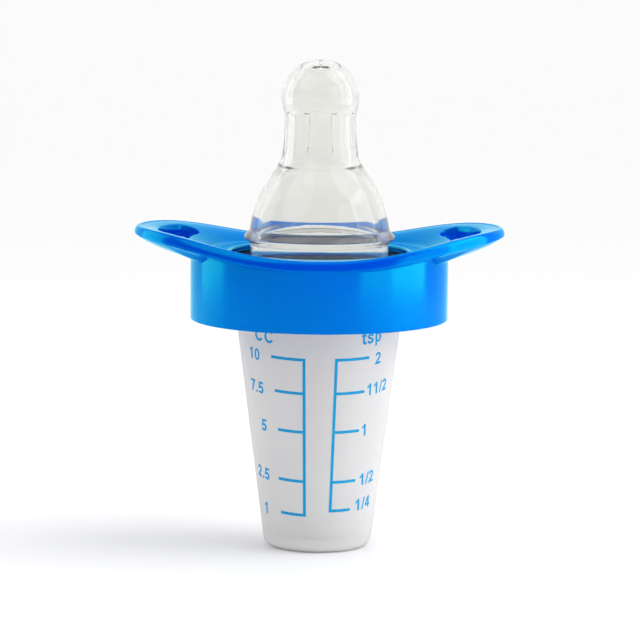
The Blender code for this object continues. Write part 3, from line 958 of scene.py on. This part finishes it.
def make_label(name, text, degrees, z, height):
    """A label centred on a place of the vial."""
    width = sum(GLYPHS[character][0] for character in text)
    curve = bpy.data.curves.new("label", "CURVE")
    curve.dimensions = "2D"
    curve.fill_mode = "FRONT"
    x = -width / 2
    centre = flat_place(degrees, z)
    for character in text:
        advance, outlines = GLYPHS[character]
        for outline in outlines:
            spline = curve.splines.new("POLY")
            spline.points.add(len(outline) - 1)
            for point, place in zip(spline.points, outline):
                point.co = ((x + place[0]) * DRAWN_HEIGHT, (place[1] - 0.5) * DRAWN_HEIGHT, 0, 1)
            spline.use_cyclic_u = True
        x += advance
    guide = bpy.data.objects.new("label", curve)
    bpy.context.scene.collection.objects.link(guide)
    mesh = bpy.data.meshes.new_from_object(guide.evaluated_get(bpy.context.evaluated_depsgraph_get()))
    shape = bmesh.new()
    shape.from_mesh(mesh)
    bpy.data.objects.remove(guide)
    bpy.data.meshes.remove(mesh)
    bmesh.ops.remove_doubles(shape, verts=shape.verts, dist=DRAWN_HEIGHT / 1000)
    down = height / DRAWN_HEIGHT
    bmesh.ops.scale(shape, verts=shape.verts, vec=(down, down, 1))
    bmesh.ops.translate(shape, verts=shape.verts, vec=(centre.x, centre.y, 0))
    return ink_solid(name, shape)


# ---- Materials -----------------------------------------------------------------------------------

NOISE_SPAN = (0.3, 0.7)  # the part of a noise pattern's range that is put to use
BLUE_INK = (0.0, 0.36, 0.72)
PINK_INK = (0.9, 0.01, 0.2)
INK_SHADE = 0.88  # how bright the darker patches of an ink are, against its colour


def new_material(name):
    made = bpy.data.materials.new(name)
    made.use_nodes = True
    nodes = made.node_tree.nodes
    return made, nodes, made.node_tree.links, nodes["Principled BSDF"]


def object_coordinates(nodes):
    return nodes.new("ShaderNodeTexCoord").outputs["Object"]


def map_range(nodes, links, value, limits, interpolation="LINEAR"):
    """A value brought from one range to another. limits are the ends of the first, then of the second."""
    ranged = nodes.new("ShaderNodeMapRange")
    ranged.interpolation_type = interpolation
    for name, limit in zip(("From Min", "From Max", "To Min", "To Max"), limits):
        ranged.inputs[name].default_value = limit
    links.new(value, ranged.inputs["Value"])
    return ranged.outputs["Result"]


def noise_value(nodes, links, vector, scale, detail, low, high):
    """A noise pattern's value, brought between low and high."""
    pattern = nodes.new("ShaderNodeTexNoise")
    pattern.inputs["Scale"].default_value = scale
    pattern.inputs["Detail"].default_value = detail
    links.new(vector, pattern.inputs["Vector"])
    return map_range(nodes, links, pattern.outputs["Fac"], (*NOISE_SPAN, low, high))


def add_colours(nodes, links, shader, vector, scale, first, second):
    """A base colour that drifts between two."""
    tone = noise_value(nodes, links, vector, scale, 3, 0, 1)
    mix = nodes.new("ShaderNodeMix")
    mix.data_type = "RGBA"
    mix.inputs["A"].default_value = (*first, 1)
    mix.inputs["B"].default_value = (*second, 1)
    links.new(tone, mix.inputs["Factor"])
    links.new(mix.outputs["Result"], shader.inputs["Base Color"])


def add_roughness(nodes, links, shader, vector, scale, detail, low, high):
    rough = noise_value(nodes, links, vector, scale, detail, low, high)
    links.new(rough, shader.inputs["Roughness"])


def add_bump(nodes, links, shader, vector, scale, detail, strength, distance):
    height = noise_value(nodes, links, vector, scale, detail, 0, 1)
    bump = nodes.new("ShaderNodeBump")
    bump.inputs["Strength"].default_value = strength
    bump.inputs["Distance"].default_value = distance
    links.new(height, bump.inputs["Height"])
    links.new(bump.outputs["Normal"], shader.inputs["Normal"])


def silicone_material():
    made, nodes, links, shader = new_material("clear_silicone")
    shader.inputs["Base Color"].default_value = (0.95, 0.95, 0.92, 1)
    shader.inputs["Transmission Weight"].default_value = 0.95
    shader.inputs["IOR"].default_value = 1.41
    vector = object_coordinates(nodes)
    add_roughness(nodes, links, shader, vector, 160, 3, 0.02, 0.06)
    add_bump(nodes, links, shader, vector, 220, 3, 0.15, 0.00006)
    return made


def frosted_material():
    made, nodes, links, shader = new_material("frosted_polypropylene")
    shader.inputs["Base Color"].default_value = (0.985, 0.98, 0.98, 1)
    shader.inputs["Transmission Weight"].default_value = 0.55
    shader.inputs["IOR"].default_value = 1.49
    vector = object_coordinates(nodes)
    add_roughness(nodes, links, shader, vector, 900, 4, 0.42, 0.52)
    add_bump(nodes, links, shader, vector, 4200, 3, 0.35, 0.00004)
    return made


def blue_material():
    made, nodes, links, shader = new_material("glossy_blue_polypropylene")
    vector = object_coordinates(nodes)
    add_colours(nodes, links, shader, vector, 60, (0.0, 0.03, 0.7), (0.0, 0.04, 0.74))
    shader.inputs["IOR"].default_value = 1.75
    shader.inputs["Specular IOR Level"].default_value = 0.9
    shader.inputs["Specular Tint"].default_value = (0.0, 1.0, 0.5, 1)
    # A coat that lets no red through keeps the gloss the colour of the plastic.
    shader.inputs["Coat Weight"].default_value = 1.0
    shader.inputs["Coat IOR"].default_value = 1.06
    shader.inputs["Coat Roughness"].default_value = 0.08
    shader.inputs["Coat Tint"].default_value = (0.0, 1.0, 1.0, 1)
    add_roughness(nodes, links, shader, vector, 300, 4, 0.14, 0.2)
    add_bump(nodes, links, shader, vector, 120, 2, 0.1, 0.00005)
    return made


def ink_material(name, colour):
    made, nodes, links, shader = new_material(name)
    vector = object_coordinates(nodes)
    darker = [channel * INK_SHADE for channel in colour]
    add_colours(nodes, links, shader, vector, 1500, colour, darker)
    shader.inputs["Specular IOR Level"].default_value = 0.2
    add_roughness(nodes, links, shader, vector, 2500, 2, 0.3, 0.45)
    return made


def set_material(piece, material):
    piece.data.materials.clear()
    piece.data.materials.append(material)


# ---- Building the pieces -------------------------------------------------------------------------


def build_object():
    vial = make_vial()
    set_material(vial, frosted_material())
    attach(vial, "vial")
    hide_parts("dosing_vial")

    nipple = make_nipple()
    set_material(nipple, silicone_material())
    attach(nipple, "nipple")
    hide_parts("nipple")

    collar = make_collar()
    set_material(collar, blue_material())
    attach(collar, "collar")
    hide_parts("shield_collar")

    blue_ink = ink_material("blue_ink", BLUE_INK)
    scales = (("CC", CC_MARKS, CC_LINE, CC_HEADING), ("tsp", TSP_MARKS, TSP_LINE, TSP_HEADING))
    for word, marks, upright, heading in scales:
        pieces = [ink_solid(f"{word}_ladder", make_ladder(marks, upright))]
        for i, (text, _, _, degrees, z) in enumerate(marks):
            pieces.append(make_label(f"{word}_number_{i + 1}", text, degrees, z * MM, LABEL_HEIGHT))
        pieces.append(make_label(f"{word}_heading", word, heading, HEADING_CENTRE, HEADING_HEIGHT))
        for piece in pieces:
            set_material(piece, blue_ink)
            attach(piece, "vial")

    bar = bmesh.new()
    add_stroke(bar, flat_place(0, STRIPE_LOW), flat_place(0, STRIPE_HIGH), STRIPE_WIDTH)
    stripe = ink_solid("pink_stripe", bar)
    to_the_back = Matrix.Rotation(math.pi, 4, "Z")
    stripe.data.transform(to_the_back)
    set_material(stripe, ink_material("pink_ink", PINK_INK))
    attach(stripe, "vial")


# ---- Stage ---------------------------------------------------------------------------------------

FLOOR_SIZE = 40
FLOOR_GREY = 0.87
# The world's strength rises from front to back, and some more towards the top. Each line gives the
# range of the direction's Y or Z, then the strength at its two ends.
BEHIND = (-0.3, 0.8, 0.25, 1.0)
ABOVE = (0.6, 0.95, 0.0, 0.3)
LIT_POINT = Vector((0, 0, 0.045))  # what the softboxes face
SOFTBOX_HEIGHT = 0.3
SUN_ANGLE = math.radians(50)
CAMERA_PLACE = Vector((0.0, -0.540, 0.1077))
CAMERA_TARGET = Vector((0.0, 0.0, 0.0395))
CAMERA_ASIDE = Vector((0.2, 0, 0)) * MM  # how far it is moved along its own X
CAMERA_ROLL = math.radians(0.475)
CAMERA_LENS = 176.06


def make_floor():
    bpy.ops.mesh.primitive_plane_add(size=FLOOR_SIZE)
    floor = bpy.context.object
    floor.name = "floor"
    made, _, _, shader = new_material("pale_floor")
    shader.inputs["Base Color"].default_value = (FLOOR_GREY, FLOOR_GREY, FLOOR_GREY, 1)
    shader.inputs["Roughness"].default_value = 0.6
    shader.inputs["Specular IOR Level"].default_value = 0.1
    set_material(floor, made)


def add_lamp(name, data, place, direction):
    """A lamp that shines in this direction and can't be seen through the plastic."""
    lamp = bpy.data.objects.new(name, data)
    lamp.visible_transmission = False
    bpy.context.scene.collection.objects.link(lamp)
    lamp.location = place
    lamp.rotation_euler = direction.to_track_quat("-Z", "Y").to_euler()


def make_world():
    """A studio that is bright above and behind the object, and darker on the camera's side."""
    world = bpy.data.worlds.new("studio")
    bpy.context.scene.world = world
    world.use_nodes = True
    nodes, links = world.node_tree.nodes, world.node_tree.links
    background = nodes["Background"]
    background.inputs["Color"].default_value = (1, 1, 1, 1)
    place = nodes.new("ShaderNodeTexCoord")
    parts = nodes.new("ShaderNodeSeparateXYZ")
    links.new(place.outputs["Generated"], parts.inputs["Vector"])
    behind = map_range(nodes, links, parts.outputs["Y"], BEHIND, "SMOOTHSTEP")
    above = map_range(nodes, links, parts.outputs["Z"], ABOVE, "SMOOTHSTEP")
    total = nodes.new("ShaderNodeMath")
    links.new(behind, total.inputs[0])
    links.new(above, total.inputs[1])
    links.new(total.outputs["Value"], background.inputs["Strength"])


def make_lights():
    softboxes = (  # name, place, width, power
        ("right_softbox", (0.3, -0.02, 0.1), 0.22, 0.5),
        ("front_right_softbox", (0.25, -0.19, 0.1), 0.2, 0.25),
        ("left_softbox", (-0.3, 0.1, 0.1), 0.2, 0.25),
    )
    for name, place, width, power in softboxes:
        data = bpy.data.lights.new(name, "AREA")
        data.shape = "RECTANGLE"
        data.size = width
        data.size_y = SOFTBOX_HEIGHT
        data.energy = power
        add_lamp(name, data, place, LIT_POINT - Vector(place))
    suns = (  # name, turn from the front to the right, lift above the horizon, strength
        ("right_key", 88, 52, 1.1),
        ("left_fill", -50, 42, 0.6),
        ("top_light", 0, 70, 0.25),
    )
    for name, turn, lift, strength in suns:
        data = bpy.data.lights.new(name, "SUN")
        data.angle = SUN_ANGLE
        data.energy = strength
        t, e = math.radians(turn), math.radians(lift)
        towards_sun = Vector((math.sin(t) * math.cos(e), -math.cos(t) * math.cos(e), math.sin(e)))
        add_lamp(name, data, (0, 0, 0), -towards_sun)


def make_camera():
    data = bpy.data.cameras.new("camera")
    data.sensor_width = 36
    data.lens = CAMERA_LENS
    data.clip_start = 0.01
    data.clip_end = 60
    camera = bpy.data.objects.new("camera", data)
    bpy.context.scene.collection.objects.link(camera)
    look = (CAMERA_TARGET - CAMERA_PLACE).to_track_quat("-Z", "Y").to_matrix().to_4x4()
    place = CAMERA_PLACE + look.to_3x3() @ CAMERA_ASIDE
    camera.matrix_world = Matrix.Translation(place) @ look @ Matrix.Rotation(CAMERA_ROLL, 4, "Z")
    bpy.context.scene.camera = camera


build_object()
make_floor()
make_world()
make_lights()
make_camera()
bpy.context.scene.view_settings.view_transform = "Standard"
